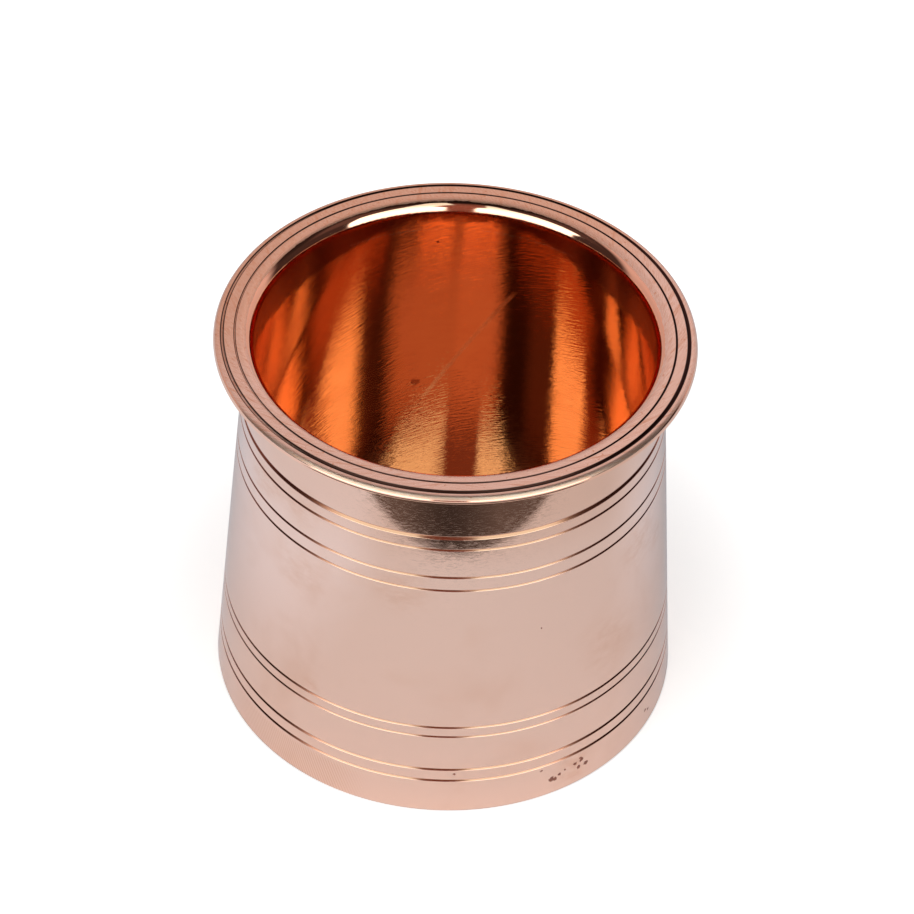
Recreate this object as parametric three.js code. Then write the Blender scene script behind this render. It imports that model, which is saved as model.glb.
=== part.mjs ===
// Panchpatra: a small copper vessel that holds water for worship, wide at its foot, with a broad flat rim.
// Millimetres, +Z up. The origin is the centre of the foot's underside, where the vessel stands.
// Every piece is turned about the Z axis: a closed outline of (radius, height) points is spun round it.
import * as THREE from "three";

// Overall sizes
const VESSEL_HEIGHT = 73.1;
const VESSEL_WIDTH = 79.8; // the foot is as wide as the rim
const RIM_OVERHANG = 5.5; // beyond the tapered wall, carried on up to the level of the rim's top face

// Sheet and bends
const SHEET = 1.35; // wall and rim flange
const LIP_RADIUS = 2.4; // inside the mouth, where the wall turns out into the rim
const RIM_LOWER_EDGE_RADIUS = 0.1;
const RIM_EDGE_LAND = 0.05; // straight run left at each end of the rim's big rounded edge
const FOOT_EDGE_RADIUS = 0.35;

// Lap joint between the rim's collar and the wall
const COLLAR_LENGTH = 3.4; // from the rim's top face down to the shoulder that meets the wall
const SPIGOT_LENGTH = 2.1; // below the shoulder, inside the wall
const SPIGOT_WALL = 0.6;

// Base disc, wedged up into the foot's taper
const BASE_SHEET = 1.4;
const BASE_RECESS = 0.9; // from the foot's underside up to the disc

// Brazing
const BRAZE_GAP = 0.15; // between two pieces that are brazed
const RIM_BRAZE_LEG = 0.35; // chamfer that the rim's bead fills
const RIM_BRAZE_PROUD = 0.08;
const BASE_BRAZE_LEG = 0.7; // fillet in the corner under the base disc

// Engraved lines round the wall, in pairs: those of the shoulder hang from the rim, those of the foot stand on it
const SHOULDER_PAIRS = [
  { from_rim: 13.1, apart: 2.5, upper_width: 0.75, lower_width: 0.45 },
  { from_rim: 21.35, apart: 2.75, upper_width: 0.45, lower_width: 0.42 },
];
const FOOT_PAIRS = [
  { from_foot: 17.05, apart: 2.05, upper_width: 0.45, lower_width: 0.4 },
  { from_foot: 7.1, apart: 2.5, upper_width: 0.5, lower_width: 0.5 },
];
const WALL_CUT_RATIO = 0.45; // depth of a line over its width

// Engraved circles on the rim's top face. The step is how much lower a circle's outer lip lies than its inner one
const INNER_CIRCLE = { from_edge: 3.55, width: 0.36, cut: 0.2, step: 0 };
const OUTER_CIRCLE = { from_edge: 1.48, width: 0.66, cut: 0.32, step: 0.1 };

// Facets
const SEGMENTS = 72; // round each piece
const ARC_STEP = THREE.MathUtils.degToRad(15); // along a bend

// Outside and inside of the tapered wall
const rimRadius = VESSEL_WIDTH / 2;
const taper = RIM_OVERHANG / VESSEL_HEIGHT;
const lean = Math.atan(taper);
const wallAcross = SHEET / Math.cos(lean); // the wall's thickness, measured level
const outside = (z) => rimRadius - taper * z;
const inside = (z) => outside(z) - wallAcross;

// The lip and the hollow under the rim bend round one centre
const coveRadius = LIP_RADIUS - SHEET;
const bendHeight = VESSEL_HEIGHT - LIP_RADIUS;
const bendCentre = outside(bendHeight) + coveRadius / Math.cos(lean);

// The rim's upper edge is rounded from the outer circle on, as far as its sheet lets it
const rimEdgeRadius = Math.min(
  OUTER_CIRCLE.from_edge - OUTER_CIRCLE.width / 2 - RIM_EDGE_LAND,
  SHEET - OUTER_CIRCLE.step - RIM_LOWER_EDGE_RADIUS - RIM_EDGE_LAND,
);

// Levels
const shoulder = VESSEL_HEIGHT - COLLAR_LENGTH;
const spigotEnd = shoulder - SPIGOT_LENGTH;
const wallTop = shoulder - BRAZE_GAP;
const socketFloor = spigotEnd - BRAZE_GAP;
const baseTop = BASE_RECESS + BASE_SHEET;

// Points along an arc from one angle to another, in the (radius, height) plane. Angle 0 points outwards.
function arc(centreRadius, centreHeight, radius, from, to) {
  const steps = Math.max(1, Math.ceil(Math.abs(to - from) / ARC_STEP));
  const points = [];
  for (let i = 0; i <= steps; i++) {
    const angle = from + ((to - from) * i) / steps;
    points.push([
      centreRadius + radius * Math.cos(angle),
      centreHeight + radius * Math.sin(angle),
    ]);
  }
  return points;
}

// A V-shaped line cut into the wall, from its lower edge to its upper one.
function wallLine(height, width) {
  const low = height - width / 2;
  const high = height + width / 2;
  const bottom = outside(height) - width * WALL_CUT_RATIO;
  return [
    [outside(low), low],
    [bottom, height],
    [outside(high), high],
  ];
}

// A V-shaped circle cut into the rim's top face, from its outer edge to its inner one.
function rimCircle({ from_edge, width, cut, step }) {
  const radius = rimRadius - from_edge;
  return [
    [radius + width / 2, VESSEL_HEIGHT - step],
    [radius, VESSEL_HEIGHT - cut],
    [radius - width / 2, VESSEL_HEIGHT],
  ];
}

// One piece: its outline goes anticlockwise round the metal. A ring's is closed by its first point,
// and a disc's starts and ends on the axis.
function turned(name, outline, { color, roughness }) {
  const isRing = outline[0][0] > 0;
  const corners = isRing ? [...outline, outline[0]] : outline;
  const profile = corners.map(([r, z]) => new THREE.Vector2(r, z));
  const geometry = new THREE.LatheGeometry(profile, SEGMENTS);
  geometry.rotateX(Math.PI / 2);
  const material = new THREE.MeshStandardMaterial({ color, roughness, metalness: 1 });
  const mesh = new THREE.Mesh(geometry, material);
  mesh.name = name;
  return mesh;
}

const polishedCopper = { color: 0xe3b9a6, roughness: 0.16 };
const satinCopper = { color: 0xcf9f8a, roughness: 0.34 };
const fillerMetal = { color: 0xd8b48c, roughness: 0.38 };

// Tapered wall with its engraved lines, a socket for the rim's spigot at the top and an open foot.
function bodyShell() {
  const lines = [];
  for (const pair of [...FOOT_PAIRS].reverse()) {
    lines.push(...wallLine(pair.from_foot, pair.lower_width));
    lines.push(...wallLine(pair.from_foot + pair.apart, pair.upper_width));
  }
  for (const pair of [...SHOULDER_PAIRS].reverse()) {
    const upper = VESSEL_HEIGHT - pair.from_rim;
    lines.push(...wallLine(upper - pair.apart, pair.lower_width));
    lines.push(...wallLine(upper, pair.upper_width));
  }
  const footEdge = outside(FOOT_EDGE_RADIUS) - FOOT_EDGE_RADIUS / Math.cos(lean);
  const socket = (z) => inside(z) + SPIGOT_WALL + BRAZE_GAP;
  return turned(
    "body_shell",
    [
      [inside(0), 0],
      ...arc(footEdge, FOOT_EDGE_RADIUS, FOOT_EDGE_RADIUS, -Math.PI / 2, lean),
      ...lines,
      [outside(wallTop - RIM_BRAZE_LEG), wallTop - RIM_BRAZE_LEG],
      [outside(wallTop) - RIM_BRAZE_LEG, wallTop],
      [socket(wallTop), wallTop],
      [socket(socketFloor), socketFloor],
      [inside(socketFloor), socketFloor],
    ],
    polishedCopper,
  );
}

// Flat rim with two engraved circles, its rounded lip, and the collar and spigot that join it to the wall.
function rimRing() {
  const underside = VESSEL_HEIGHT - SHEET;
  const spigotOuter = (z) => inside(z) + SPIGOT_WALL;
  return turned(
    "rim_ring",
    [
      [inside(spigotEnd), spigotEnd],
      [spigotOuter(spigotEnd), spigotEnd],
      [spigotOuter(shoulder), shoulder],
      [outside(shoulder) - RIM_BRAZE_LEG, shoulder],
      [outside(shoulder + RIM_BRAZE_LEG), shoulder + RIM_BRAZE_LEG],
      ...arc(bendCentre, bendHeight, coveRadius, Math.PI + lean, Math.PI / 2),
      ...arc(
        rimRadius - RIM_LOWER_EDGE_RADIUS,
        underside + RIM_LOWER_EDGE_RADIUS,
        RIM_LOWER_EDGE_RADIUS,
        -Math.PI / 2,
        0,
      ),
      ...arc(
        rimRadius - rimEdgeRadius,
        VESSEL_HEIGHT - OUTER_CIRCLE.step - rimEdgeRadius,
        rimEdgeRadius,
        0,
        Math.PI / 2,
      ),
      ...rimCircle(OUTER_CIRCLE),
      ...rimCircle(INNER_CIRCLE),
      ...arc(bendCentre, bendHeight, LIP_RADIUS, Math.PI / 2, Math.PI + lean),
    ],
    satinCopper,
  );
}

// Round plate that closes the foot. Its edge leans with the wall, so that it wedges there.
function baseDisc() {
  return turned(
    "base_disc",
    [
      [0, BASE_RECESS],
      [inside(BASE_RECESS) - BRAZE_GAP, BASE_RECESS],
      [inside(baseTop) - BRAZE_GAP, baseTop],
      [0, baseTop],
    ],
    satinCopper,
  );
}

// Bead of filler metal in the notch between the rim's shoulder and the wall.
function rimBrazeSeam() {
  const middle = (shoulder + wallTop) / 2;
  const reach = RIM_BRAZE_LEG - BRAZE_GAP / 2;
  const root = outside(middle) - RIM_BRAZE_LEG + BRAZE_GAP;
  return turned(
    "rim_braze_seam",
    [
      [root, middle],
      [outside(middle - reach) - BRAZE_GAP / 2, middle - reach],
      [outside(middle) + RIM_BRAZE_PROUD, middle],
      [outside(middle + reach) - BRAZE_GAP / 2, middle + reach],
    ],
    fillerMetal,
  );
}

// Fillet of filler metal in the corner between the base disc's underside and the foot.
function baseBrazeSeam() {
  const top = BASE_RECESS - BRAZE_GAP;
  const wall = (z) => inside(z) - BRAZE_GAP;
  return turned(
    "base_braze_seam",
    [
      [wall(top) - BASE_BRAZE_LEG, top],
      [wall(top - BASE_BRAZE_LEG), top - BASE_BRAZE_LEG],
      [wall(top), top],
    ],
    fillerMetal,
  );
}

const panchpatra = new THREE.Group();
panchpatra.add(bodyShell(), rimRing(), baseDisc(), rimBrazeSeam(), baseBrazeSeam());

export default panchpatra;
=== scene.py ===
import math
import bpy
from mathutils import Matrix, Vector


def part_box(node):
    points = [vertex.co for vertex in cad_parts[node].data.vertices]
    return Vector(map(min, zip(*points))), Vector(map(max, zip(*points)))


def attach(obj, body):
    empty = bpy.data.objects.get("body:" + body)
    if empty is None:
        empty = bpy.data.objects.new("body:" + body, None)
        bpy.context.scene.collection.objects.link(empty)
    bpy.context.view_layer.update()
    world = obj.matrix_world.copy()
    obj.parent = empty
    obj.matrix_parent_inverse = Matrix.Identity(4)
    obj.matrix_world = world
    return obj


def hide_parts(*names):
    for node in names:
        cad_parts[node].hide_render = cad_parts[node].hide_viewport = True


bl_info = {
    "name": "Copper Panchpatra",
    "version": (1, 0, 0),
    "blender": (4, 5, 0),
    "location": "View3D > Sidebar > Panchpatra",
    "description": "Makes a turned and brazed copper water vessel, its finishes and its studio",
    "category": "Object",
}

import bpy
import numpy as np
from bpy.props import FloatProperty, FloatVectorProperty, IntProperty, PointerProperty
from mathutils import Matrix, Vector

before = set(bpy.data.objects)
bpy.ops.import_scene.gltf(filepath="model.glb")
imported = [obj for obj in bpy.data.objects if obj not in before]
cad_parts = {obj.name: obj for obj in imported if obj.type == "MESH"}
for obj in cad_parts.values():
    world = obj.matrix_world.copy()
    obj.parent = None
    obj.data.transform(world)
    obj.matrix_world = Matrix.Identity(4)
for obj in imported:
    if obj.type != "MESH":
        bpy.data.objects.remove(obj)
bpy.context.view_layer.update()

MM = 0.001
MICRON = 1e-6

# Boxes of the solids, in metres
shell_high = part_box("body_shell")[1]
rim_low, rim_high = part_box("rim_ring")
base_low, base_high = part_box("base_disc")


def length(name, description, millimetres):
    """A size that a user may change, written in millimetres and kept in metres."""
    size = millimetres * MM
    return FloatProperty(name=name, description=description, default=size, unit="LENGTH", precision=5)


def colour(name, description, value):
    """A linear colour that a user may change."""
    limits = {"size": 3, "min": 0, "max": 1}
    return FloatVectorProperty(name=name, description=description, default=value, subtype="COLOR", **limits)


def amount(name, description, value, top=1.0):
    """A plain number that a user may change."""
    return FloatProperty(name=name, description=description, default=value, min=0.0, max=top)


class VesselSizes(bpy.types.PropertyGroup):
    """Sizes of the turned pieces. Those that a box of the frame gives start from it."""

    height: length("Height", "From the foot to the rim's top face", rim_high[2] / MM)
    width: length("Width", "Across the rim, and across the foot", 2 * rim_high[0] / MM)
    overhang: length("Overhang", "Of the rim beyond the tapered wall", 5.5)
    sheet: length("Sheet", "Thickness of the wall and of the rim", 1.35)
    lip_radius: length("Lip radius", "Bend from the wall into the rim, inside the mouth", 2.4)
    rim_edge: length("Rim edge", "Rounding of the rim's upper outer edge", 1.1)
    rim_lower_edge: length("Rim lower edge", "Rounding of the rim's lower outer edge", 0.1)
    rim_step: length("Rim step", "How much lower the rim lies outside its outer circle", 0.1)
    foot_edge: length("Foot edge", "Rounding of the foot's outer edge", 0.35)
    spigot_wall: length("Spigot wall", "Thickness of the rim's spigot inside the wall", 0.6)
    shoulder: length("Shoulder", "Height of the rim's shoulder above its spigot's end", 2.1)
    notch: length("Notch", "Chamfer that the rim's bead of filler metal fills", 0.35)
    joint_gap: length("Joint gap", "Between two brazed pieces", 0.15)
    fine_edge: length("Fine edge", "Rounding of every edge that has no other", 0.035)
    segments: IntProperty(
        name="Segments", description="Facets round each piece", default=384, min=64, max=512
    )


class VesselFinish(bpy.types.PropertyGroup):
    """Colours and polish of the metals."""

    polished: colour("Polished copper", "Colour of the wall's outside", (0.98, 0.662, 0.535))
    lining: colour("Lining", "Colour of the wall's and the base's inside", (0.875, 0.526, 0.33))
    satin: colour("Satin copper", "Colour of the rim", (0.99, 0.58, 0.42))
    tarnish: colour("Tarnish", "Colour of the faint clouds and specks", (0.75, 0.36, 0.2))
    # The residue colour also paints shade in the rim's circles.
    residue_and_shade: colour("Residue", "Colour of the polish that stays in the rim's circles", (0.05, 0.02, 0.016))
    # The lines' colour paints shade into the wall's engraved lines.
    line: colour("Lines", "Colour of the copper in the wall's engraved lines", (0.4, 0.18, 0.105))
    # The stain colour also paints the shade under the lip and the dark reflection in the wall's lines at the
    # sides.
    stain: colour("Stain", "Colour of the dull band under the lip and of the pits", (0.2, 0.045, 0.025))
    filler: colour("Filler metal", "Colour of the brazing", (0.86, 0.66, 0.42))


class StudioSettings(bpy.types.PropertyGroup):
    """The floor, lights and camera."""

    floor: colour("Floor", "Colour of the floor", (0.8, 0.8, 0.8))
    lamp: amount("Lamps", "Brightness of the two lamps that light the floor", 1.8, top=20.0)
    soft_box: amount("Soft boxes", "Brightness of the soft boxes, as the metal sees them", 2.85, top=20.0)
    sky: amount("Sky", "Plain light from all round on the floor", 0.3)
    floor_in_metal: amount("Floor in metal", "What the metal sees on top of the floor's own light", 0.11)
    backdrop: amount("Backdrop", "Brightness of the pale backdrop, as the metal sees it", 0.58, top=4.0)


# Engraved lines round the wall: depth under the rim's top or height above the foot, and width, in mm
LINES_UNDER_RIM = ((13.1, 0.75), (15.6, 0.45), (21.35, 0.45), (24.1, 0.42))
LINES_OVER_FOOT = ((7.1, 0.5), (9.6, 0.5), (17.05, 0.4), (19.1, 0.45))
LINE_CUT = 0.45  # depth over width

# Engraved circles on the rim: distance in from its edge, width and depth, in millimetres
RIM_CIRCLES = ((1.48, 0.66, 0.32), (3.55, 0.36, 0.2))

DRESSED_GAP = 0.01 * MM  # left where two faces are dressed flush, too fine to see
SEAM_PROUD = 0.06 * MM  # how far the rim's bead stands out of the wall


class Shape:
    """Radii and levels that the outlines share, in metres."""

    def __init__(self, sizes):
        self.sizes = sizes
        self.rim_radius = sizes.width / 2
        self.taper = sizes.overhang / sizes.height
        self.lean = math.atan(self.taper)
        self.shoulder = rim_low[2] + sizes.shoulder
        self.wall_top = shell_high[2]
        self.spigot_end = rim_low[2]
        self.socket_floor = self.spigot_end - sizes.joint_gap

    def outside(self, z):
        """Radius of the tapered wall's outer face."""
        return self.rim_radius - self.taper * z

    def inside(self, z):
        """Radius of the tapered wall's inner face."""
        return self.outside(z) - self.sizes.sheet / math.cos(self.lean)


# Outlines


def round_corner(before, corner, after):
    """The arc that rounds one corner (radius, height, rounding). Two corners share the run between them."""
    radius = corner[2]
    a = Vector(before[:2]) - Vector(corner[:2])
    b = Vector(after[:2]) - Vector(corner[:2])
    bend = math.pi - a.angle(b)
    if bend < math.radians(0.5) or radius == 0:
        return [tuple(corner[:2])]
    room = min(0.99 * run.length * radius / (radius + end[2]) for run, end in ((a, before), (b, after)))
    reach = min(radius * math.tan(bend / 2), room)
    radius = reach / math.tan(bend / 2)
    a.normalize()
    b.normalize()
    middle = Vector(corner[:2]) + (a + b).normalized() * radius / math.cos(bend / 2)
    first = Vector(corner[:2]) + a * reach - middle
    turn = math.copysign(1, first.x * (b - a).y - first.y * (b - a).x)
    steps = max(3, math.ceil(bend / math.radians(4 if radius > 0.5 * MM else 24)))
    points = []
    for i in range(steps + 1):
        c = math.cos(turn * bend * i / steps)
        s = math.sin(turn * bend * i / steps)
        points.append((middle.x + first.x * c - first.y * s, middle.y + first.x * s + first.y * c))
    return points


def fine_outline(corners, hold=0.03 * MM):
    """Rounds each corner (radius, height, rounding), and puts points by the ends of the straight runs."""
    closed = corners[0][0] > 0
    count = len(corners)
    points = []
    for i, corner in enumerate(corners):
        if not closed and i in (0, count - 1):
            arc = [tuple(corner[:2])]
        else:
            arc = round_corner(corners[i - 1], corner, corners[(i + 1) % count])
        if points:
            points += hold_points(points[-1], arc[0], hold)
        points += arc
    if closed:
        points += hold_points(points[-1], points[0], hold) + [points[0]]
    return points


def hold_points(start, end, hold):
    """Two points just inside the ends of a straight run, if it is long enough."""
    start = Vector(start)
    end = Vector(end)
    run = end - start
    if run.length < 4 * hold:
        return []
    step = run.normalized() * hold
    return [tuple(start + step), tuple(end - step)]


# Turning: a node tree that spins an outline about the Z axis


def node(tree, kind, links=(), **settings):
    """Adds a node, sets its properties, and joins or fills its inputs: (input, value or output socket)."""
    made = tree.nodes.new(kind)
    for name, value in settings.items():
        setattr(made, name, value)
    for key, value in links:
        if isinstance(value, bpy.types.NodeSocket):
            tree.links.new(value, made.inputs[key])
        else:
            made.inputs[key].default_value = value
    return made


def maths(tree, operation, *values):
    """The output of a Math node."""
    return node(tree, "ShaderNodeMath", list(enumerate(values)), operation=operation).outputs[0]


def smooth_range(tree, value, low, high, out_low=0.0, out_high=1.0):
    """A smooth change from one number to another as a value goes from low to high."""
    inputs = ("Value", "From Min", "From Max", "To Min", "To Max")
    links = zip(inputs, (value, low, high, out_low, out_high))
    return node(tree, "ShaderNodeMapRange", links, interpolation_type="SMOOTHSTEP").outputs["Result"]


TURNING_INPUTS = (
    ("Outline", "Geometry"),
    ("Segments", "Int"),
    ("Lining From", "Int"),
    ("Metal", "Material"),
    ("Lining", "Material"),
)


def turning_tree():
    """Spins an outline's points, (radius, 0, height), into a smooth surface with one metal and a lining."""
    tree = bpy.data.node_groups.new("Turned about the axis", "GeometryNodeTree")
    for name, kind in TURNING_INPUTS:
        tree.interface.new_socket(name, in_out="INPUT", socket_type="NodeSocket" + kind)
    tree.interface.new_socket("Turned", in_out="OUTPUT", socket_type="NodeSocketGeometry")
    given = tree.nodes.new("NodeGroupInput").outputs

    rows = node(tree, "GeometryNodeAttributeDomainSize", [("Geometry", given["Outline"])], component="MESH")
    count = rows.outputs["Point Count"]
    columns = maths(tree, "ADD", given["Segments"], 1)
    spread = [("Size X", 1.0), ("Size Y", 1.0), ("Vertices X", columns), ("Vertices Y", count)]
    grid = node(tree, "GeometryNodeMeshGrid", spread)
    place = node(tree, "ShaderNodeSeparateXYZ", [(0, node(tree, "GeometryNodeInputPosition").outputs[0])])
    turn = maths(tree, "MULTIPLY", maths(tree, "ADD", place.outputs["X"], 0.5), math.tau)
    last = maths(tree, "SUBTRACT", count, 1)
    row = maths(tree, "ROUND", maths(tree, "MULTIPLY", maths(tree, "ADD", place.outputs["Y"], 0.5), last))
    kept = node(tree, "GeometryNodeCaptureAttribute", [("Geometry", grid.outputs["Mesh"])], domain="POINT")
    kept.capture_items.new("FLOAT", "Row")
    tree.links.new(row, kept.inputs["Row"])

    position = node(tree, "GeometryNodeInputPosition").outputs[0]
    point = node(
        tree,
        "GeometryNodeSampleIndex",
        [("Geometry", given["Outline"]), ("Value", position), ("Index", row)],
        data_type="FLOAT_VECTOR",
        domain="POINT",
    )
    outline = node(tree, "ShaderNodeSeparateXYZ", [(0, point.outputs["Value"])])
    radius = outline.outputs["X"]
    x = maths(tree, "MULTIPLY", radius, maths(tree, "COSINE", turn))
    y = maths(tree, "MULTIPLY", radius, maths(tree, "SINE", turn))
    spun = node(tree, "ShaderNodeCombineXYZ", [("X", x), ("Y", y), ("Z", outline.outputs["Z"])])
    moved = [("Geometry", kept.outputs["Geometry"]), ("Position", spun.outputs[0])]
    surface = node(tree, "GeometryNodeSetPosition", moved)
    merged = [("Geometry", surface.outputs[0]), ("Distance", 0.2 * MICRON)]
    closed = node(tree, "GeometryNodeMergeByDistance", merged)
    smooth = node(tree, "GeometryNodeSetShadeSmooth", [("Geometry", closed.outputs[0])])
    whole = node(tree, "GeometryNodeRealizeInstances", [("Geometry", smooth.outputs[0])])
    coated = [("Geometry", whole.outputs[0]), ("Material", given["Metal"])]
    metal = node(tree, "GeometryNodeSetMaterial", coated)
    rows = [("A", kept.outputs["Row"]), ("B", given["Lining From"])]
    inner = node(tree, "FunctionNodeCompare", rows, data_type="FLOAT", operation="GREATER_THAN")
    coated = [("Geometry", metal.outputs[0]), ("Selection", inner.outputs[0]), ("Material", given["Lining"])]
    lined = node(tree, "GeometryNodeSetMaterial", coated)
    node(tree, "NodeGroupOutput", [("Turned", lined.outputs[0])])
    return tree


def socket_key(tree, name):
    """The identifier of a tree's named input."""
    for item in tree.interface.items_tree:
        if item.item_type == "SOCKET" and item.in_out == "INPUT" and item.name == name:
            return item.identifier
    raise KeyError(name)


def turned_piece(name, corners, segments, metal, lining=None, lining_from=None):
    """Spins an outline of corners into a plain mesh. Its rows from lining_from on get the lining."""
    points = fine_outline(corners)
    mesh = bpy.data.meshes.new(name + "_outline")
    mesh.from_pydata([(r, 0, z) for r, z in points], [(i, i + 1) for i in range(len(points) - 1)], [])
    blank = bpy.data.objects.new(name + "_outline", mesh)
    bpy.context.scene.collection.objects.link(blank)
    tree = bpy.data.node_groups.get("Turned about the axis") or turning_tree()
    lathe = blank.modifiers.new("Turning", "NODES")
    lathe.node_group = tree
    lathe[socket_key(tree, "Segments")] = segments
    lathe[socket_key(tree, "Lining From")] = len(points) if lining_from is None else lining_from(points)
    lathe[socket_key(tree, "Metal")] = metal
    lathe[socket_key(tree, "Lining")] = lining or metal
    seen = blank.evaluated_get(bpy.context.evaluated_depsgraph_get())
    plain = bpy.data.meshes.new_from_object(seen)
    plain.name = name
    bpy.data.objects.remove(blank)
    piece = bpy.data.objects.new(name, plain)
    bpy.context.scene.collection.objects.link(piece)
    return piece


def line_heights(sizes):
    """Height and width of each engraved line of the wall, from the foot up."""
    heights = [(z * MM, width * MM) for z, width in LINES_OVER_FOOT]
    heights += [(sizes.height - depth * MM, width * MM) for depth, width in reversed(LINES_UNDER_RIM)]
    return heights


# Outlines of the pieces, anticlockwise round the metal, in metres


def wall_corners(shape):
    """Foot, outside with its engraved lines, and the socket at the top. The last run is the inside."""
    sizes = shape.sizes
    fine = sizes.fine_edge
    corners = [(shape.inside(0), 0, fine * 3), (shape.outside(0), 0, sizes.foot_edge)]
    for z, width in line_heights(sizes):
        low = z - width / 2
        high = z + width / 2
        corners += [
            (shape.outside(low), low, fine),
            (shape.outside(z) - width * LINE_CUT, z, fine * 1.5),
            (shape.outside(high), high, fine),
        ]
    top = shape.wall_top
    notch = sizes.notch
    bore = sizes.spigot_wall + sizes.joint_gap
    floor = shape.socket_floor
    corners += [
        (shape.outside(top - notch), top - notch, fine),
        (shape.outside(top) - notch, top, fine),
        (shape.inside(top) + bore, top, fine),
        (shape.inside(floor) + bore, floor, fine),
        (shape.inside(floor), floor, fine * 0.2),
    ]
    return corners


def rim_corners(shape):
    """Spigot, shoulder, cove, underside, edge, top face with its circles, and lip."""
    sizes = shape.sizes
    fine = sizes.fine_edge
    top = sizes.height
    under = top - sizes.sheet
    end = shape.socket_floor + DRESSED_GAP
    shoulder = shape.shoulder
    notch = sizes.notch
    corners = [
        (shape.inside(end), end, fine * 0.2),
        (shape.inside(end) + sizes.spigot_wall, end, fine),
        (shape.inside(shoulder) + sizes.spigot_wall, shoulder, fine),
        (shape.outside(shoulder) - notch, shoulder, fine),
        (shape.outside(shoulder + notch), shoulder + notch, fine),
        (shape.outside(under), under, sizes.lip_radius - sizes.sheet),
        (shape.rim_radius, under, sizes.rim_lower_edge),
        (shape.rim_radius, top - sizes.rim_step, sizes.rim_edge),
    ]
    for (inset, width, cut), step in zip(RIM_CIRCLES, (sizes.rim_step, 0)):
        middle = shape.rim_radius - inset * MM
        corners += [
            (middle + width * MM / 2, top - step, fine),
            (middle, top - cut * MM, fine * 1.5),
            (middle - width * MM / 2, top, fine),
        ]
    corners.append((shape.inside(top), top, sizes.lip_radius))
    return corners


def base_corners(shape):
    """A plain disc whose edge leans with the wall. It starts and ends on the axis."""
    gap = shape.sizes.joint_gap
    fine = shape.sizes.fine_edge
    low = base_low[2]
    high = base_high[2]
    return [
        (0, low, 0),
        (shape.inside(low) - gap, low, fine * 2),
        (shape.inside(high) - gap, high, fine * 2),
        (0, high, 0),
    ]


def rim_seam_corners(shape):
    """Bead of filler metal that fills the notch under the rim."""
    sizes = shape.sizes
    fine = sizes.fine_edge
    middle = (shape.shoulder + shape.wall_top) / 2
    reach = sizes.notch
    return [
        (shape.outside(middle) - sizes.notch, middle, fine),
        (shape.outside(middle - reach) - DRESSED_GAP, middle - reach, fine),
        (shape.outside(middle) + SEAM_PROUD, middle, fine * 6),
        (shape.outside(middle + reach) - DRESSED_GAP, middle + reach, fine),
    ]


def base_seam_corners(shape):
    """Fillet of filler metal in the corner under the base disc."""
    low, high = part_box("base_braze_seam")
    top = base_low[2]
    leg = high[2] - low[2]
    return [
        (shape.inside(top) - leg, top, 0),
        (shape.inside(top - leg / 2) - leg * 0.35, top - leg * 0.35, leg),
        (shape.inside(top - leg), top - leg, 0),
        (shape.inside(top), top, 0),
    ]


# Metals


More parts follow.
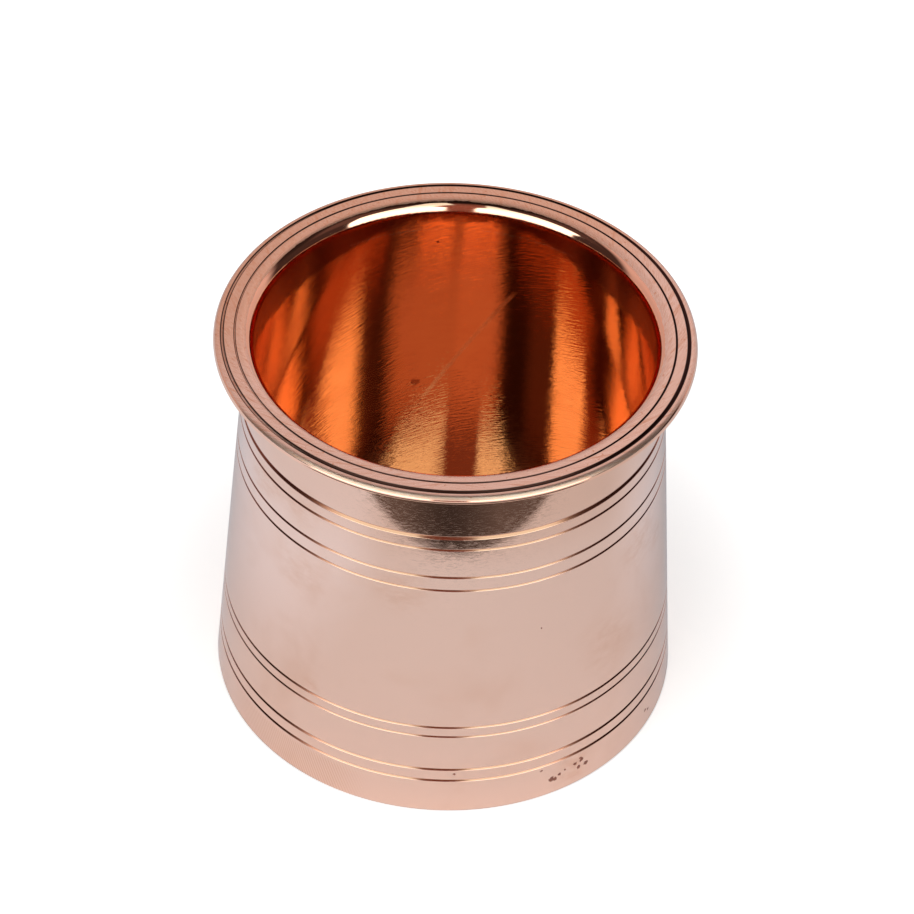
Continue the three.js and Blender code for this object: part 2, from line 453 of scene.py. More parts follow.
class Finish:
    """A metal's node tree, with the measures of the turned surface that its marks follow."""

    def __init__(self, name, base, roughness):
        self.material = bpy.data.materials.new(name)
        self.material.use_nodes = True
        self.tree = self.material.node_tree
        self.shader = self.tree.nodes["Principled BSDF"]
        self.shader.inputs["Metallic"].default_value = 1
        self.shader.inputs["Base Color"].default_value = (*base, 1)
        self.shader.inputs["Roughness"].default_value = roughness
        self.colour = (*base, 1)
        self.rough = roughness
        self.relief = None
        self.place = node(self.tree, "ShaderNodeTexCoord").outputs["Object"]
        split = node(self.tree, "ShaderNodeSeparateXYZ", [(0, self.place)])
        self.x, self.y, self.z = split.outputs
        flat = self.vector("MULTIPLY", self.place, (1, 1, 0))
        self.radius = self.vector("LENGTH", flat, output="Value")
        self.outward = self.vector("NORMALIZE", flat)
        self.azimuth = self.calc("ARCTAN2", self.x, self.times(self.y, -1.0))

    def calc(self, operation, *values):
        """The output of a Math node."""
        return maths(self.tree, operation, *values)

    def times(self, first, second):
        """Two numbers or masks multiplied."""
        return self.calc("MULTIPLY", first, second)

    def vector(self, operation, *values, output="Vector"):
        """The output of a Vector Math node."""
        made = node(self.tree, "ShaderNodeVectorMath", list(enumerate(values)), operation=operation)
        return made.outputs[output]

    def step(self, value, low, high, out_low=0.0, out_high=1.0):
        """A smooth change from one number to another as a value goes from low to high."""
        return smooth_range(self.tree, value, low, high, out_low, out_high)

    def stretched(self, across, upward):
        """Object place stretched round the axis: few features across, many upward, per metre."""
        return self.vector("MULTIPLY", self.place, (across, across, upward))

    def unrolled(self, across, along, slant=0.0):
        """Arc length and distance along the surface. Slant, in radians, turns the strokes."""
        arc = self.times(self.calc("ARCTAN2", self.x, self.y), self.radius)
        run = self.calc("ADD", self.radius, self.z)
        c, s = math.cos(slant), math.sin(slant)
        first = self.calc("ADD", self.times(arc, c * across), self.times(run, s * across))
        second = self.calc("SUBTRACT", self.times(run, c * along), self.times(arc, s * along))
        return node(self.tree, "ShaderNodeCombineXYZ", [("X", first), ("Y", second)]).outputs[0]

    def band(self, value, low, high, soft):
        """A mask that is 1 while a value lies between two limits."""
        past_low = self.step(value, low - soft, low + soft)
        return self.times(past_low, self.step(value, high - soft, high + soft, 1.0, 0.0))

    def noise(self, place, scale=1.0, detail=2.0, roughness=0.5, distortion=0.0):
        """Soft noise between 0 and 1."""
        inputs = ("Vector", "Scale", "Detail", "Roughness", "Distortion")
        links = zip(inputs, (place, scale, detail, roughness, distortion))
        return node(self.tree, "ShaderNodeTexNoise", links).outputs["Fac"]

    def add_relief(self, height, depth):
        """Adds a height between 0 and 1, times a depth in metres, to the surface's relief."""
        scaled = self.times(height, depth)
        self.relief = scaled if self.relief is None else self.calc("ADD", self.relief, scaled)

    def tint(self, factor, colour):
        """Mixes a colour over what is there."""
        over = [(0, factor), (6, self.colour), (7, (*colour, 1))]
        self.colour = node(self.tree, "ShaderNodeMix", over, data_type="RGBA").outputs[2]

    def roughen(self, factor, roughness):
        """Blends another roughness over what is there."""
        over = [(0, factor), (2, self.rough), (3, roughness)]
        self.rough = node(self.tree, "ShaderNodeMix", over, data_type="FLOAT").outputs[0]

    def spot(self, centre, size, ragged):
        """A mask round one point of the surface, with a ragged edge."""
        gap = self.vector("DISTANCE", self.place, centre, output="Value")
        wobble = self.times(self.noise(self.place, 0.9 / size, 3.0), size * ragged * 2)
        gap = self.calc("ADD", gap, wobble)
        return self.step(gap, size * (0.6 + ragged), size * (1 + ragged), 1.0, 0.0)

    def cloud(self, centre, size):
        """A soft mottled mask round one point of the surface."""
        gap = self.vector("DISTANCE", self.place, centre, output="Value")
        mottle = self.step(self.noise(self.stretched(300, 700), 1.0, 4.0, 0.7), 0.3, 0.7)
        return self.times(self.step(gap, size * 0.2, size * 1.8, 1.0, 0.0), mottle)

    def finish(self):
        """Joins what was gathered to the shader."""
        links = self.tree.links
        if isinstance(self.colour, bpy.types.NodeSocket):
            links.new(self.colour, self.shader.inputs["Base Color"])
        if isinstance(self.rough, bpy.types.NodeSocket):
            links.new(self.rough, self.shader.inputs["Roughness"])
        if self.relief is not None:
            bump = node(self.tree, "ShaderNodeBump", [("Height", self.relief), ("Distance", 1.0)])
            links.new(bump.outputs[0], self.shader.inputs["Normal"])
        return self.material


def on_wall(shape, azimuth, height, face=None):
    """A point of the wall's outside or inside. Azimuth 0 faces the camera, and positive is to the right."""
    radius = (face or shape.outside)(height)
    angle = math.radians(azimuth)
    return (math.sin(angle) * radius, -math.cos(angle) * radius, height)


# Small dark pits in the wall's outside: azimuth in degrees, height and size in millimetres
PITS = (
    (4.1, 8.6, 0.26),
    (26.5, 6.1, 0.28),
    (29.2, 3.4, 0.62),
    (30.4, 3.2, 0.5),
    (31.6, 3.8, 0.36),
    (33.2, 4.4, 0.26),
    (36.2, 4.6, 0.4),
    (37.3, 3.5, 0.5),
    (38.2, 4.9, 0.5),
    (39.6, 3.6, 0.5),
    (37.9, 5.4, 0.34),
    (63.5, 3.6, 0.42),
    (65.0, 3.0, 0.34),
    (25.8, 38.5, 0.18),
)

# Stains on the wall's inside: azimuth in degrees, height, size in millimetres and strength
INNER_STAINS = (
    (-168.8, 30.0, 1.0, 0.6),
    (-173.5, 64.4, 0.3, 0.9),
    (169.5, 27.2, 0.22, 0.9),
    (-170.6, 25.4, 0.25, 0.7),
    (-170.0, 24.2, 0.22, 0.8),
)

# A slanting smear on the wall's inside: how far it moves across with height, and where it would start
SMEAR_SLOPE = 0.551
SMEAR_FOOT = -19.86 * MM
SMEAR_COLOUR = (1.0, 0.8, 0.62)

# Faint brown smudges on the wall's outside: azimuth in degrees, height, size in millimetres and strength
SMUDGES = (
    (-59.4, 55.4, 2.6, 0.46),
    (-52.9, 56.6, 2.0, 0.39),
    (-42.5, 57.3, 3.6, 0.33),
    (-40.8, 43.9, 4.6, 0.26),
    (-34.9, 20.5, 1.4, 0.39),
    (-11.6, 48.1, 4.0, 0.29),
    (61.0, 44.4, 4.4, 0.39),
    (70.8, 40.4, 2.2, 0.39),
    (47.7, 28.4, 5.0, 0.23),
    (35.5, 3.8, 3.0, 0.39),
)


# Chatter marks at the foot: radians per metre up the wall, and per radian round it. Their reach round the
# wall and up it, and the reach on either side of the painted dark reflection in the engraved lines, are each
# from, to, softness
CHATTER_UP = 5100.0
CHATTER_ROUND = 429.0
CHATTER_ARC = (math.radians(-62), math.radians(-22), math.radians(6))
CHATTER_HEIGHT = (-1.0 * MM, 6.2 * MM, 0.6 * MM)
SHADED_LINES_ARC = (math.radians(32), math.radians(74), math.radians(7))


def polished_copper(shape, colours):
    """Outside of the wall: mirror polish with fine grain, faint clouds, a few pits, engraved lines darkened
    with painted shade, and a painted dark reflection in the lines at the sides.
    """
    made = Finish("polished_copper", colours.polished, 0.035)
    clouds = made.noise(made.place, 55, 3.0, 0.6, 0.4)
    made.tint(made.step(clouds, 0.5, 0.8, 0.0, 0.22), colours.tarnish)
    grain = made.noise(made.stretched(1200, 4200), 1.0, 2.0, 0.6)
    made.add_relief(grain, 1.5 * MICRON)
    turning = made.noise(made.stretched(600, 4600), 1.0, 2.0, 0.5)
    made.add_relief(turning, 0.6 * MICRON)
    waves = made.noise(made.place, 70, 1.0)
    made.add_relief(waves, 9 * MICRON)
    made.roughen(made.step(clouds, 0.45, 0.7, 0.0, 0.6), 0.09)
    brushed = made.noise(made.stretched(1000, 5200), 1.0, 3.0, 0.7)
    made.roughen(made.step(brushed, 0.42, 0.66), 0.14)
    # Darker towards the top, under the rim.
    made.tint(made.step(made.z, 50 * MM, 64 * MM, 0.0, 0.3), colours.tarnish)
    for azimuth, height, size, strength in SMUDGES:
        mask = made.cloud(on_wall(shape, azimuth, height * MM), size * MM)
        made.tint(made.times(mask, strength), colours.tarnish)
    for azimuth, height, size in PITS:
        mask = made.spot(on_wall(shape, azimuth, height * MM), size * MM, 0.9)
        made.tint(made.times(mask, 0.85), colours.stain)
        made.roughen(mask, 0.5)
        made.add_relief(made.times(mask, -1.0), 20 * MICRON)
    ribs = made.calc("MULTIPLY_ADD", made.z, CHATTER_UP, made.times(made.azimuth, CHATTER_ROUND))
    ribs = made.calc("SINE", ribs)
    ribs = made.times(ribs, made.band(made.azimuth, *CHATTER_ARC))
    ribs = made.times(ribs, made.band(made.z, *CHATTER_HEIGHT))
    made.add_relief(ribs, 1.2 * MICRON)
    made.tint(made.times(made.calc("MAXIMUM", ribs, 0.0), 0.5), colours.tarnish)
    # Painted shade: the copper in the engraved lines is darkened with the lines' colour, as if shade filled
    # the cut.
    surface = made.calc("MULTIPLY_ADD", made.z, -shape.taper, shape.rim_radius)
    sunk = made.calc("SUBTRACT", surface, made.radius)
    line = made.step(sunk, 0.005 * MM, 0.05 * MM)
    made.tint(made.times(line, 0.8), colours.line)
    made.roughen(line, 0.12)
    # Painted dark reflection: on either side, away from the front, the engraved lines are darkened with the
    # stain colour and dulled.
    shade_at_side = made.band(made.calc("ABSOLUTE", made.azimuth), *SHADED_LINES_ARC)
    for z, width in line_heights(shape.sizes):
        away = made.calc("ABSOLUTE", made.calc("SUBTRACT", made.z, z))
        line = made.calc("MAXIMUM", line, made.step(away, width * 0.72, width * 0.55))
    side_shade_in_lines = made.times(line, made.times(shade_at_side, 0.8))
    made.tint(side_shade_in_lines, colours.stain)
    made.roughen(side_shade_in_lines, 0.27)
    return made.finish()


def spun_marks(made, shape, colours, where=1.0):
    """Scratches, dull patches, and the painted shade of the dark band under the lip, alike on the wall and
    the rim's spigot.
    """
    scratches = made.noise(made.unrolled(420, 2600, 0.34), 1.0, 2.0, 0.55)
    made.add_relief(made.times(scratches, where), 23 * MICRON)
    fine = made.noise(made.unrolled(700, 5200, 0.2), 1.0, 2.0, 0.6)
    made.add_relief(made.times(fine, where), 6 * MICRON)
    waves = made.noise(made.place, 60, 1.0)
    made.add_relief(made.times(waves, where), 10 * MICRON)
    patches = made.noise(made.unrolled(90, 220, 0.3), 1.0, 4.0, 0.7)
    made.roughen(made.times(made.step(patches, 0.45, 0.62), where), 0.08)
    made.tint(made.times(made.step(patches, 0.46, 0.7, 0.0, 0.3), where), colours.tarnish)
    streaks = made.noise(made.unrolled(130, 3000, 0.06), 1.0, 3.0, 0.7)
    made.tint(made.times(made.step(streaks, 0.42, 0.68, 0.0, 0.3), where), colours.tarnish)
    top = shape.sizes.height
    # Painted shade under the lip: a dark band tinted with the stain colour and dulled, reaching lower at the
    # sides.
    ragged = made.noise(made.unrolled(260, 700, 0.5), 1.0, 4.0, 0.7)
    level = made.calc("MULTIPLY_ADD", ragged, 4.0 * MM, made.z)
    beside = made.step(made.calc("ABSOLUTE", made.x), 6 * MM, 30 * MM, 0.0, 6 * MM)
    level = made.calc("ADD", level, beside)
    dull = made.step(level, top - 2.4 * MM, top - 0.6 * MM, 0.0, 0.9)
    made.tint(made.times(dull, where), colours.stain)
    made.roughen(made.times(dull, where), 0.2)


def spun_lining(shape, colours):
    """Inside of the wall: deep copper, spun bright, with scratches, dull patches and a few stains."""
    made = Finish("spun_copper_lining", colours.lining, 0.035)
    spun_marks(made, shape, colours)
    for azimuth, height, size, strength in INNER_STAINS:
        middle = on_wall(shape, azimuth, height * MM, shape.inside)
        made.tint(made.times(made.spot(middle, size * MM, 0.5), strength), colours.stain)
    run = made.calc("SUBTRACT", made.x, made.calc("MULTIPLY_ADD", made.z, SMEAR_SLOPE, SMEAR_FOOT))
    smear = made.step(made.calc("ABSOLUTE", run), 0.2 * MM, 0.75 * MM, 1.0, 0.0)
    smear = made.times(smear, made.band(made.z, 26 * MM, 54 * MM, 1.5 * MM))
    smear = made.times(smear, made.step(made.y, 0.0, 10 * MM))
    made.tint(made.times(smear, 0.4), SMEAR_COLOUR)
    made.roughen(made.times(smear, 0.7), 0.3)
    return made.finish()


# Colours of the rim's satin face at the back, of the painted sheen at its front, and of the painted shade
# where its edge rounds over at the front
BROWN_SATIN = (0.86, 0.565, 0.425)
FRONT_SHEEN = (0.96, 0.75, 0.66)
EDGE_SHADE = (0.5, 0.33, 0.26)
RIM_SIDE = (math.radians(48), math.radians(66))  # where the rim's front passes into its sides
LIP_REACH = 1.35 * MM  # across the polished lip, from the line of the wall's inside to the satin face


def satin_copper(shape, colours):
    """The rim: a satin face with slanting tool marks and a painted sheen at its front, painted shade on its
    front edge, a polished lip with painted shade under it, and dark residue with painted shade in its
    circles.
    """
    made = Finish("satin_copper", colours.satin, 0.06)
    top = shape.sizes.height
    lip_start = shape.inside(top) + LIP_REACH
    ragged = made.times(made.noise(made.place, 500, 4.0, 0.7), 0.5 * MM)
    face = made.times(
        made.step(made.calc("ADD", made.radius, ragged), lip_start + 0.25 * MM, lip_start + 0.38 * MM),
        made.step(made.z, top - 1.6 * MM, top - 1.2 * MM),
    )
    away = made.calc("ABSOLUTE", made.azimuth)
    beside = made.step(away, *RIM_SIDE)
    level = made.calc("MULTIPLY_ADD", beside, -0.3 * MM, made.z)
    face = made.times(face, made.step(level, top - 0.74 * MM, top - 0.64 * MM))
    made.roughen(face, 0.26)
    hatch = made.noise(made.unrolled(5000, 800, 0.6), 1.0, 2.0, 0.6)
    made.add_relief(made.times(hatch, face), 3 * MICRON)
    made.tint(face, BROWN_SATIN)
    # Painted sheen: the face is made paler towards the front and the right.
    pale = made.step(made.calc("MULTIPLY_ADD", made.x, -0.5, made.y), 24 * MM, -6 * MM, 0.0, 0.85)
    made.tint(made.times(pale, face), FRONT_SHEEN)
    made.roughen(made.times(face, made.step(made.z, top - 0.1 * MM, top - 0.2 * MM)), 0.36)
    # Painted shade on the upper part of the rounded edge, strongest at the front and gone at the sides,
    # which narrows the edge's highlight.
    shaded_edge = made.times(face, made.step(made.z, top - 0.3 * MM, top - 0.46 * MM))
    made.tint(made.times(shaded_edge, made.step(away, *RIM_SIDE, 0.8, 0.0)), EDGE_SHADE)
    made.tint(made.times(made.step(hatch, 0.46, 0.7, 0.0, 0.6), face), colours.tarnish)
    blotches = made.noise(made.unrolled(500, 120), 1.0, 3.0, 0.7)
    made.tint(made.times(made.step(blotches, 0.52, 0.7, 0.0, 0.45), face), colours.tarnish)
    specks = made.noise(made.place, 900, 2.0, 0.7)
    made.tint(made.times(made.step(specks, 0.66, 0.72, 0.0, 0.7), face), colours.tarnish)
    throat = made.times(
        made.step(made.z, top - 1.2 * MM, top - 2.2 * MM),
        made.step(made.radius, lip_start, lip_start - 0.5 * MM),
    )
    made.roughen(throat, 0.035)
    made.tint(throat, colours.lining)
    spun_marks(made, shape, colours, throat)
    # Dark residue and painted shade in the rim's circles: they are darkened and dulled, less along their
    # middles on the left.
    for inset, width, _ in RIM_CIRCLES:
        away = made.calc("ABSOLUTE", made.calc("SUBTRACT", made.radius, shape.rim_radius - inset * MM))
        line = made.times(
            made.step(away, width * MM * 0.42, width * MM * 0.6, 1.0, 0.0),
            made.step(made.z, top - 1.0 * MM, top - 0.8 * MM),
        )
        bare = made.times(
            made.step(away, width * MM * 0.3, width * MM * 0.16),
            made.step(made.x, -22 * MM, -30 * MM),
        )
        line = made.times(line, made.calc("SUBTRACT", 1.0, made.times(bare, 0.85)))
        made.tint(line, colours.residue_and_shade)
        made.roughen(line, 0.3)
    return made.finish()


def turned_copper(shape, colours):
    """The base disc: bright, with fine circles from turning."""
    darker = tuple(0.5 * a + 0.5 * b for a, b in zip(colours.lining, colours.tarnish))
    made = Finish("base_copper", darker, 0.03)
    circles = made.noise(made.vector("MULTIPLY", made.outward, (2, 2, 2)), 1.0, 1.0)
    ring = node(
        made.tree,
        "ShaderNodeTexNoise",
        [("W", made.times(made.radius, 2500.0)), ("Detail", 3.0)],
        noise_dimensions="1D",
    ).outputs["Fac"]
    made.add_relief(ring, 0.5 * MICRON)
    made.add_relief(circles, 2 * MICRON)
    stain = made.noise(made.place, 60, 3.0, 0.6)
    made.tint(made.step(stain, 0.5, 0.8, 0.0, 0.4), colours.tarnish)
    return made.finish()


def brazing(colours):
    """Filler metal: paler and yellower than copper, slightly lumpy."""
    made = Finish("filler_metal", colours.filler, 0.3)
    lumps = made.noise(made.place, 700, 3.0, 0.6)
    made.add_relief(lumps, 12 * MICRON)
    made.tint(made.step(lumps, 0.45, 0.75, 0.0, 0.7), colours.tarnish)
    made.roughen(made.step(lumps, 0.4, 0.7), 0.42)
    return made.finish()


# Operators


class PANCHPATRA_OT_wall(bpy.types.Operator):
    """Turn the tapered wall with its engraved lines"""

    bl_idname = "panchpatra.wall"
    bl_label = "Wall"

    def execute(self, context):
        scene = context.scene
        shape = Shape(scene.vessel_sizes)
        polished = polished_copper(shape, scene.vessel_finish)
        spun = spun_lining(shape, scene.vessel_finish)

        def lining_start(points):
            floor = shape.socket_floor
            return max(i for i, (_, z) in enumerate(points) if abs(z - floor) < 0.3 * MM)

        segments = shape.sizes.segments
        wall = turned_piece("wall", wall_corners(shape), segments, polished, spun, lining_start)
        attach(wall, "root")
        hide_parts("body_shell")
        return {"FINISHED"}


class PANCHPATRA_OT_rim(bpy.types.Operator):
    """Turn the flat rim with its circles, lip and spigot"""

    bl_idname = "panchpatra.rim"
    bl_label = "Rim"

    def execute(self, context):
        scene = context.scene
        shape = Shape(scene.vessel_sizes)
        satin = satin_copper(shape, scene.vessel_finish)
        rim = turned_piece("rim", rim_corners(shape), shape.sizes.segments, satin)
        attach(rim, "root")
        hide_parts("rim_ring")
        return {"FINISHED"}


class PANCHPATRA_OT_base(bpy.types.Operator):
    """Turn the base disc"""

    bl_idname = "panchpatra.base"
    bl_label = "Base disc"

    def execute(self, context):
        scene = context.scene
        shape = Shape(scene.vessel_sizes)
        turned = turned_copper(shape, scene.vessel_finish)
        base = turned_piece("base", base_corners(shape), shape.sizes.segments, turned)
        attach(base, "root")
        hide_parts("base_disc")
        return {"FINISHED"}


class PANCHPATRA_OT_seams(bpy.types.Operator):
    """Lay the two seams of filler metal"""

    bl_idname = "panchpatra.seams"
    bl_label = "Brazed seams"

    def execute(self, context):
        scene = context.scene
        shape = Shape(scene.vessel_sizes)
        filler = brazing(scene.vessel_finish)
        seams = (
            ("rim_seam", rim_seam_corners(shape), "rim_braze_seam"),
            ("base_seam", base_seam_corners(shape), "base_braze_seam"),
        )
        for name, corners, solid in seams:
            seam = turned_piece(name, corners, shape.sizes.segments, filler)
            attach(seam, "root")
            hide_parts(solid)
        return {"FINISHED"}


# Stage

# Camera, from a fit to the photograph's circles
CAMERA_LEVEL = math.radians(42.747)
CAMERA_ROLL = math.radians(2.4316)
CAMERA_DISTANCE = 620.6 * MM
CAMERA_SIDE = 1.04 * MM
CAMERA_DROP = 20.58 * MM
FOCAL_PIXELS = 3776.5
PHOTO_PIXELS = 914
SENSOR = 36.0

DOME_RADIUS = 1.6
FLOOR_HALF = 4.0


def make_camera(scene):
    """The photograph's camera, aimed at the rim's centre with its small roll and offset."""
    back = Vector((0, -math.cos(CAMERA_LEVEL), math.sin(CAMERA_LEVEL)))
    right = Vector((1, 0, 0))
    up = back.cross(right)
    rolled_right = math.cos(CAMERA_ROLL) * right + math.sin(CAMERA_ROLL) * up
    rolled_up = math.cos(CAMERA_ROLL) * up - math.sin(CAMERA_ROLL) * right
    place = Vector((0, 0, scene.vessel_sizes.height))
    place += back * CAMERA_DISTANCE + right * CAMERA_SIDE - up * CAMERA_DROP
    data = bpy.data.cameras.new("photo_camera")
    data.sensor_width = SENSOR
    data.lens = SENSOR * FOCAL_PIXELS / PHOTO_PIXELS
    data.clip_start = 0.01
    camera = bpy.data.objects.new("photo_camera", data)
    turn = Matrix((rolled_right, rolled_up, back)).transposed().to_4x4()
    camera.matrix_world = Matrix.Translation(place) @ turn
    scene.collection.objects.link(camera)
    scene.camera = camera


def towards(azimuth, elevation, distance):
    """A place seen from the vessel's mouth. Azimuth 0 is the camera's side, positive to the right."""
    az = math.radians(azimuth)
    el = math.radians(elevation)
    return Vector((math.sin(az) * math.cos(el), -math.cos(az) * math.cos(el), math.sin(el))) * distance


def lamp(scene, name, azimuth, elevation, width, height, radiance):
    """A big soft lamp for the floor, one metre away. The metal sees the dome's soft boxes in its place."""
    data = bpy.data.lights.new(name, "AREA")
    data.shape = "RECTANGLE"
    data.size = width
    data.size_y = height
    data.energy = radiance * math.pi * width * height
    made = bpy.data.objects.new(name, data)
    place = towards(azimuth, elevation, 1.0)
    made.location = Vector((0, 0, scene.vessel_sizes.height)) + place
    made.rotation_euler = place.to_track_quat("Z", "Y").to_euler()
    made.visible_camera = False
    made.visible_glossy = False
    scene.collection.objects.link(made)


# The two soft boxes as the metal sees them, in degrees: elevation, from azimuth, to azimuth
LEFT_BOX = ((-8, -58, -7), (20, -61, -7), (36, -70, -9), (42, -61.5, -15), (51, -32, -15.5), (61, -24, -18))
RIGHT_BOX = ((-8, 8, 58), (30, 8, 62), (42, 17, 60.5), (51, 4.5, 37), (60, 8, 31), (67, 12, 27))

# The pale backdrop's edges: elevation, left edge, right edge, softness
BACKDROP = (
    (-8, -97, 112, 6),
    (26, -98, 116, 6),
    (36, -100, 124, 8),
    (42, -102, 130, 10),
    (70, -100, 118, 8),
)


# Brightness of the backdrop, the drapes, the warm gap between the soft boxes, and the boxes themselves,
# up the dome or round it: (degrees), (brightness)
PAPER_UP = ((-8, 18, 34, 60, 78, 86), (0.85, 0.9, 1.05, 0.9, 0.8, 0.1))
DRAPE_ROUND = ((-95, -80, -60, 0, 62, 85, 98), (0.025, 0.08, 0.08, 0.06, 0.1, 0.1, 0.025))
DRAPE_UP = ((55, 68), (1, 0.2))
GAP_ROUND = ((-24, -16, 20, 28), (0, 1, 1, 0))
GAP_UP = ((42, 51, 55, 66), (1, 0.7, 0.7, 0))
BOX_UP = ((28, 36, 44, 51, 60), (0.91, 0.66, 0.6, 0.37, 0.36))
LOW_DRAPE = 0.045
LOW_DRAPE_END = (28, 40)
PAPER_AT_RIGHT = 1.12

# Their tints, and the warmth that the soft boxes gain upwards, over these degrees
DRAPE_TINT = (1.2, 0.72, 0.62)
GAP_TINT = (0.22, 0.07, 0.045)
PAPER_TINT = (1.18, 0.9, 0.84)
BOX_TINT = (1, 1.02, 0.98)
BOX_WARMTH = (0, 0.2, 0.14)
WARMTH_UP = ((28, 36), (0, 1))


def ease(value, low, high):
    """0 below low, 1 above high, smooth between."""
    t = np.clip((value - low) / (high - low), 0, 1)
    return t * t * (3 - 2 * t)


def box_mask(azimuth, elevation, rows, soft=0.8):
    """Where a soft box lies on the dome."""
    level, left, right = np.array(rows, dtype=float).T
    start = np.interp(elevation, level, left)
    stop = np.interp(elevation, level, right)
    mask = ease(azimuth, start - soft, start + soft) * (1 - ease(azimuth, stop - soft, stop + soft))
    return mask * (1 - ease(elevation, level[-1] - soft, level[-1] + soft))


def dome_light(settings, azimuth, elevation):
    """The light that the metal sees from each direction: soft boxes, dark drapes and pale backdrop."""
    level, left, right, soft = np.array(BACKDROP, dtype=float).T
    start = np.interp(elevation, level, left)
    stop = np.interp(elevation, level, right)
    width = np.interp(elevation, level, soft)
    front = ease(azimuth, start - width, start + width) * (1 - ease(azimuth, stop - width, stop + width))
    behind = 1 - front
    paper = settings.backdrop * np.interp(elevation, *PAPER_UP) * np.where(azimuth > 0, PAPER_AT_RIGHT, 1.0)
    drape = np.interp(azimuth, *DRAPE_ROUND)
    dark = LOW_DRAPE + (drape - LOW_DRAPE) * ease(elevation, *LOW_DRAPE_END)
    dark = dark * np.interp(elevation, *DRAPE_UP)
    gap = np.interp(azimuth, *GAP_ROUND) * np.interp(elevation, *GAP_UP)
    light = dark[:, None] * np.array(DRAPE_TINT) + gap[:, None] * np.array(GAP_TINT)
    light = light * (1 - behind[:, None]) + (paper * behind)[:, None] * np.array(PAPER_TINT)
    warm = np.interp(elevation, *WARMTH_UP)[:, None]
    bright = (settings.soft_box * np.interp(elevation, *BOX_UP))[:, None]
    bright = bright * (np.array(BOX_TINT) + warm * np.array(BOX_WARMTH))
    for rows in (LEFT_BOX, RIGHT_BOX):
        mask = box_mask(azimuth, elevation, rows)[:, None]
        light = light * (1 - mask) + bright * mask
    return light


def light_sheet(scene, mesh):
    """Makes a mesh shine with the light that its points carry, seen by the metal alone."""
    made = bpy.data.materials.new(mesh.name)
    made.use_nodes = True
    made.cycles.emission_sampling = "NONE"
    tree = made.node_tree
    tree.nodes.clear()
    read = node(tree, "ShaderNodeAttribute", attribute_name="light")
    glow = node(tree, "ShaderNodeEmission", [("Color", read.outputs["Color"])])
    node(tree, "ShaderNodeOutputMaterial", [("Surface", glow.outputs[0])])
    mesh.materials.append(made)
    sheet = bpy.data.objects.new(mesh.name, mesh)
    scene.collection.objects.link(sheet)
    for seen_by in ("camera", "diffuse", "transmission", "volume_scatter", "shadow"):
        setattr(sheet, "visible_" + seen_by, False)


def make_dome(scene):
    """A half globe round the vessel with the studio as the metal sees it, one colour to each degree."""
    middle = Vector((0, 0, scene.vessel_sizes.height))
    azimuths = np.arange(-180, 181)
    elevations = np.arange(-3, 91)
    verts = [middle + towards(float(a), float(e), DOME_RADIUS) for e in elevations for a in azimuths]
    columns = len(azimuths)
    faces = [
        (k, k + 1, k + columns + 1, k + columns)
        for i in range(len(elevations) - 1)
        for k in range(i * columns, i * columns + columns - 1)
    ]
    mesh = bpy.data.meshes.new("studio_dome")
    mesh.from_pydata(verts, [], faces)
    azimuth, elevation = np.meshgrid(azimuths.astype(float), elevations.astype(float))
    light = dome_light(scene.studio_settings, azimuth.ravel(), elevation.ravel())
    shade = mesh.attributes.new("light", "FLOAT_COLOR", "POINT")
    shade.data.foreach_set("color", np.column_stack((light, np.ones(len(light)))).ravel())
    light_sheet(scene, mesh)


# The white paper's front edge is an arc: its centre behind the vessel, and its radius
PAPER_CENTRE = Vector((-9.2 * MM, 71.5 * MM, 0.2 * MM))
PAPER_RADIUS = 186.7 * MM
DARK_WIDTH = 90 * MM  # of the ground past it

# That ground's light where it is darkest, what it gains to the sides, over how many degrees, and its tint
GROUND_LIGHT = 0.045
GROUND_GAIN = 0.075
DARKEST_AT = 3
GAIN_OVER = 14
GROUND_TINT = (1, 0.82, 0.74)


def dark_ground(scene):
    """Dark ground past the paper's front edge, which the wall shows as a dark patch under the rim."""
    edge = [math.radians(a) for a in range(-40, 41)]
    inner = [PAPER_CENTRE + Vector((math.sin(a), -math.cos(a), 0)) * PAPER_RADIUS for a in edge]
    reach = PAPER_RADIUS + DARK_WIDTH
    outer = [PAPER_CENTRE + Vector((math.sin(a), -math.cos(a), 0)) * reach for a in edge]
    count = len(edge)
    mesh = bpy.data.meshes.new("dark_ground")
    mesh.from_pydata(inner + outer, [], [(i, i + count, i + count + 1, i + 1) for i in range(count - 1)])
    shade = mesh.attributes.new("light", "FLOAT_COLOR", "POINT")
    for i, a in enumerate(edge * 2):
        away = min(1.0, abs(math.degrees(a) - DARKEST_AT) / GAIN_OVER)
        light = GROUND_LIGHT + GROUND_GAIN * away**1.5
        shade.data[i].color = (*(light * tint for tint in GROUND_TINT), 1)
    light_sheet(scene, mesh)


# Cooler white that the metal sees on the floor beside the vessel, on top of the floor's own light, and where
# it sets in: to the left, to the right, and how far back on the right
COOL_WHITE = (0.45, 0.7, 1.0, 1)
SIDE_WHITE = 0.24
RIGHT_SHARE = 0.7
LEFT_SIDE = (-45 * MM, -85 * MM)
RIGHT_SIDE = (50 * MM, 85 * MM)
RIGHT_BACK = (-30 * MM, 20 * MM)

# What the camera sees of the paper on top of its own light: distances from the axis, and strengths there
PAPER_GLOW = (40 * MM, 100 * MM, 0.5, 0.95)


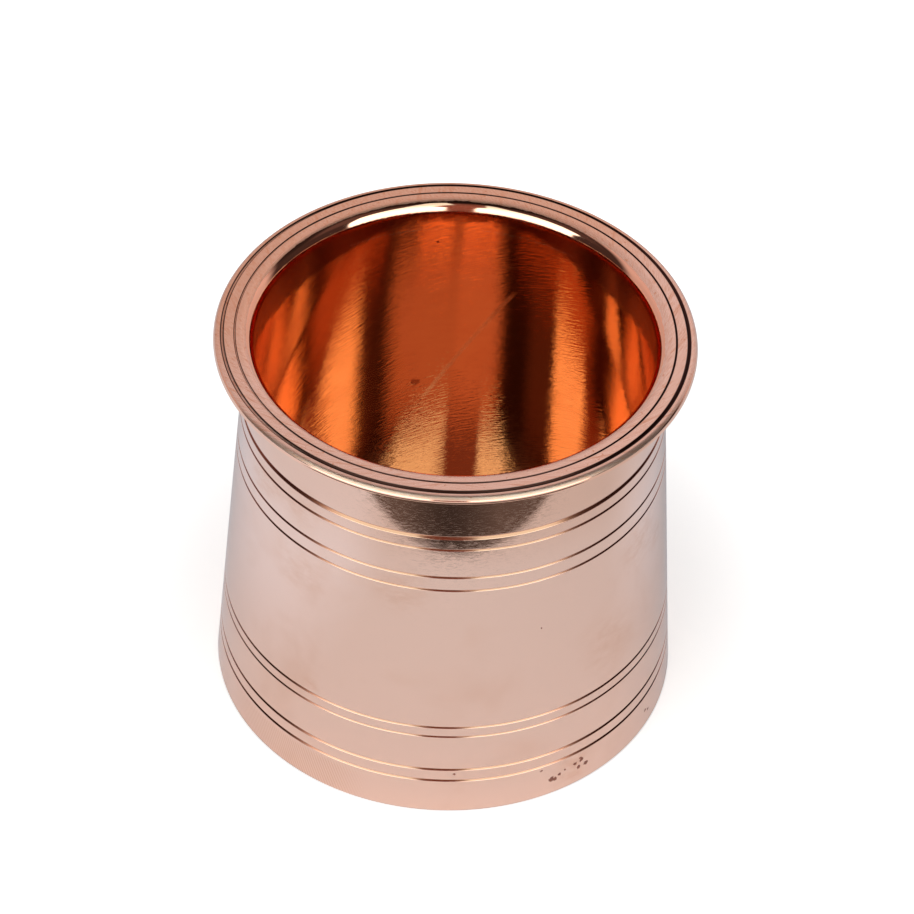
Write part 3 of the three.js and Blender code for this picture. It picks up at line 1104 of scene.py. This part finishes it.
def make_floor(scene):
    """A pale floor that keeps the vessel's shadow, and that the camera sees as white paper."""
    h = FLOOR_HALF
    mesh = bpy.data.meshes.new("floor")
    mesh.from_pydata([(-h, -h, 0), (h, -h, 0), (h, h, 0), (-h, h, 0)], [], [(0, 1, 2, 3)])
    made = bpy.data.materials.new("pale_floor")
    made.use_nodes = True
    tree = made.node_tree
    tree.nodes.clear()
    settings = scene.studio_settings
    paper = node(tree, "ShaderNodeBsdfDiffuse", [("Color", (*settings.floor, 1))])
    ray = node(tree, "ShaderNodeLightPath")
    place = node(tree, "ShaderNodeTexCoord").outputs["Object"]
    away = node(tree, "ShaderNodeVectorMath", [(0, place)], operation="LENGTH").outputs["Value"]
    white = smooth_range(tree, away, *PAPER_GLOW)
    seen = maths(tree, "MULTIPLY", ray.outputs["Is Camera Ray"], white)
    glow = node(tree, "ShaderNodeEmission", [("Strength", seen)])
    both = node(tree, "ShaderNodeAddShader", [(0, paper.outputs[0]), (1, glow.outputs[0])])
    across = node(tree, "ShaderNodeSeparateXYZ", [(0, place)])
    left = smooth_range(tree, across.outputs["X"], *LEFT_SIDE)
    right = smooth_range(tree, across.outputs["X"], *RIGHT_SIDE)
    right = maths(tree, "MULTIPLY", right, smooth_range(tree, across.outputs["Y"], *RIGHT_BACK))
    sides = maths(tree, "MULTIPLY_ADD", right, RIGHT_SHARE, left)
    sides = maths(tree, "MULTIPLY_ADD", sides, SIDE_WHITE, settings.floor_in_metal)
    in_metal = maths(tree, "MAXIMUM", ray.outputs["Is Glossy Ray"], ray.outputs["Is Transmission Ray"])
    in_metal = maths(tree, "MULTIPLY", in_metal, sides)
    cool = node(tree, "ShaderNodeEmission", [("Color", COOL_WHITE), ("Strength", in_metal)])
    both = node(tree, "ShaderNodeAddShader", [(0, both.outputs[0]), (1, cool.outputs[0])])
    node(tree, "ShaderNodeOutputMaterial", [("Surface", both.outputs[0])])
    mesh.materials.append(made)
    floor = bpy.data.objects.new("floor", mesh)
    scene.collection.objects.link(floor)


def make_world(scene):
    """A white background to the camera and in the metal, which hardly lights the floor."""
    world = bpy.data.worlds.new("studio")
    scene.world = world
    world.use_nodes = True
    tree = world.node_tree
    tree.nodes.clear()
    ray = node(tree, "ShaderNodeLightPath")
    seen = maths(tree, "MAXIMUM", ray.outputs["Is Camera Ray"], ray.outputs["Is Glossy Ray"])
    seen = maths(tree, "MAXIMUM", seen, ray.outputs["Is Transmission Ray"])
    strength = maths(tree, "MAXIMUM", seen, scene.studio_settings.sky)
    sky = node(tree, "ShaderNodeBackground", [("Strength", strength)])
    node(tree, "ShaderNodeOutputWorld", [("Surface", sky.outputs[0])])


class PANCHPATRA_OT_stage(bpy.types.Operator):
    """Set up the floor, soft light and camera"""

    bl_idname = "panchpatra.stage"
    bl_label = "Studio"

    def execute(self, context):
        scene = context.scene
        scene.view_settings.view_transform = "Standard"
        scene.cycles.max_bounces = 16
        scene.cycles.glossy_bounces = 14
        make_floor(scene)
        make_world(scene)
        bright = scene.studio_settings.lamp
        lamp(scene, "left_lamp", -36, 34, 0.9, 1.12, bright * 1.15)
        lamp(scene, "right_lamp", 35, 36, 0.88, 1.15, bright * 0.7)
        make_dome(scene)
        dark_ground(scene)
        make_camera(scene)
        return {"FINISHED"}


class PANCHPATRA_PT_panel(bpy.types.Panel):
    """The vessel's pieces and its studio"""

    bl_idname = "PANCHPATRA_PT_panel"
    bl_label = "Panchpatra"
    bl_space_type = "VIEW_3D"
    bl_region_type = "UI"
    bl_category = "Panchpatra"

    def draw(self, context):
        layout = self.layout
        for settings in ("vessel_sizes", "vessel_finish", "studio_settings"):
            group = getattr(context.scene, settings)
            box = layout.box()
            for name in group.__annotations__:
                box.prop(group, name)
        for operator in OPERATORS:
            layout.operator(operator.bl_idname)


OPERATORS = (
    PANCHPATRA_OT_wall,
    PANCHPATRA_OT_rim,
    PANCHPATRA_OT_base,
    PANCHPATRA_OT_seams,
    PANCHPATRA_OT_stage,
)
GROUPS = (VesselSizes, VesselFinish, StudioSettings)


def register():
    for cls in (*GROUPS, *OPERATORS, PANCHPATRA_PT_panel):
        bpy.utils.register_class(cls)
    bpy.types.Scene.vessel_sizes = PointerProperty(type=VesselSizes)
    bpy.types.Scene.vessel_finish = PointerProperty(type=VesselFinish)
    bpy.types.Scene.studio_settings = PointerProperty(type=StudioSettings)


def unregister():
    for name in ("vessel_sizes", "vessel_finish", "studio_settings"):
        delattr(bpy.types.Scene, name)
    for cls in reversed((*GROUPS, *OPERATORS, PANCHPATRA_PT_panel)):
        bpy.utils.unregister_class(cls)


def main():
    register()
    bpy.ops.panchpatra.wall()
    bpy.ops.panchpatra.rim()
    bpy.ops.panchpatra.base()
    bpy.ops.panchpatra.seams()
    bpy.ops.panchpatra.stage()


if __name__ == "__main__":
    main()
